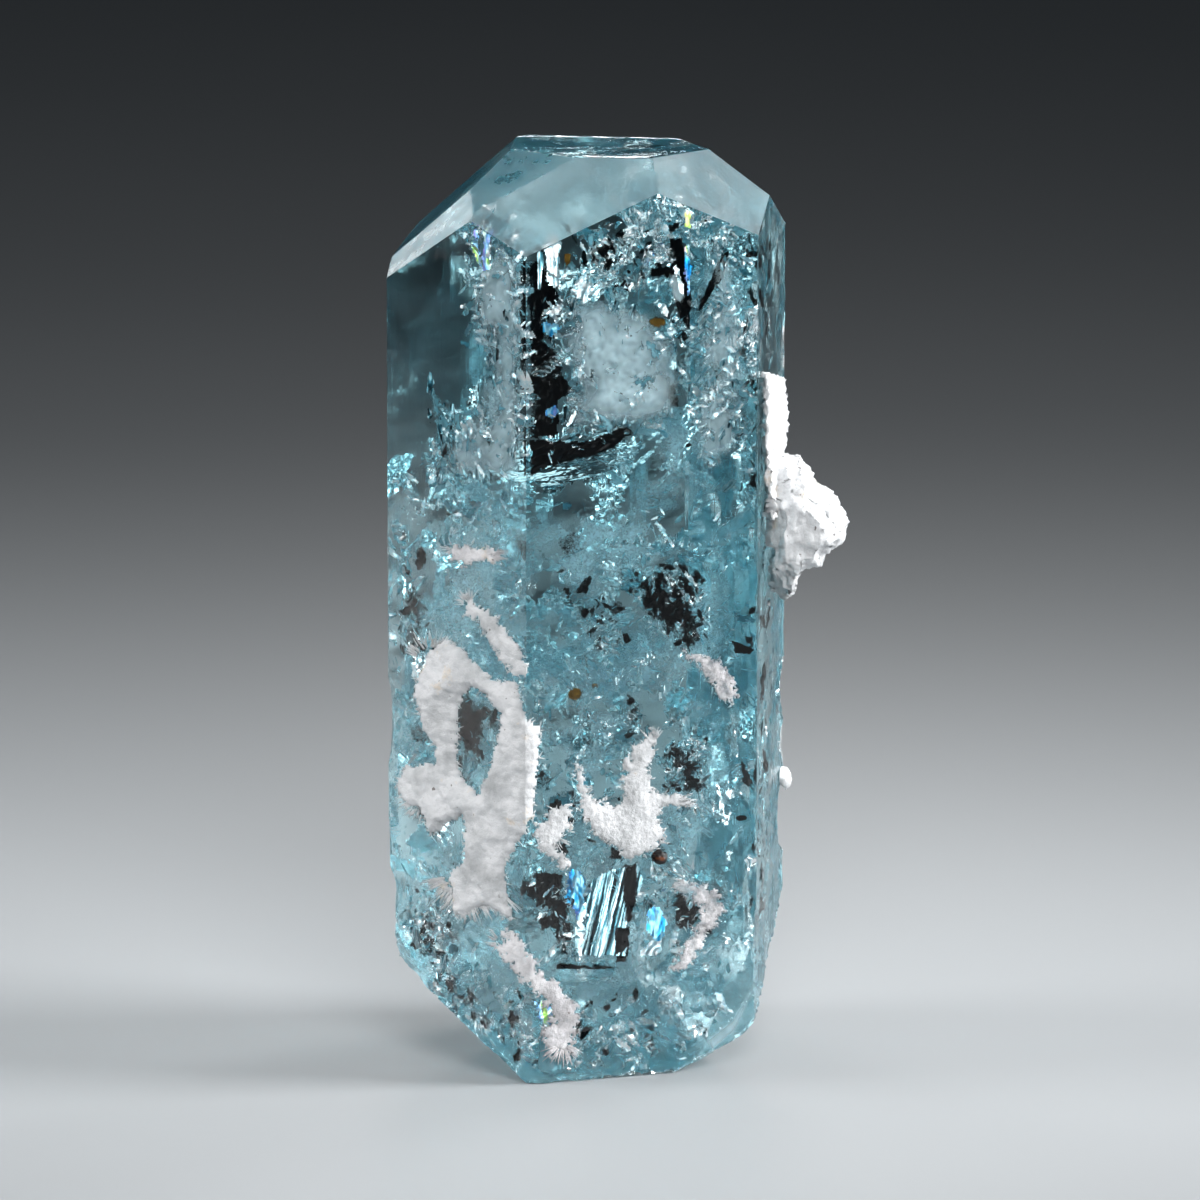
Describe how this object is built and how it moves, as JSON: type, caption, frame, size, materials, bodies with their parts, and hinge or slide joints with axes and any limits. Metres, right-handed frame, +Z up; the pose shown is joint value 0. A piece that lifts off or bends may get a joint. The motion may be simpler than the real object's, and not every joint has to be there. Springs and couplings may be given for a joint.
{
  "type": "aquamarine crystal",
  "caption": "Stout six-sided aquamarine crystal with a bevelled flat top and an etched lower end, standing upright, with white albite growths on its faces.",
  "frame": {"origin": "on the flat foot that the crystal stands on, at ground level, on the prism's axis", "axes": "+Z up along the prism's axis, -Y towards the front, +X to the right where the knob of albite stands out"},
  "size_m": [0.0442, 0.0373, 0.088],
  "materials": {
    "aquamarine": "gloss",
    "albite": "matte",
    "garnet": "satin"
  },
  "bodies": {
    "root": {"aquamarine_crystal": "aquamarine", "albite_knob": "albite", "albite_arch": "albite", "albite_upper_ribbon": "albite", "albite_lower_ribbon": "albite", "albite_flake": "albite", "albite_tuft": "albite", "albite_fork": "albite", "albite_hook": "albite", "albite_wisp": "albite", "albite_bead": "albite", "garnet_grain": "garnet"}
  },
  "joints": []
}
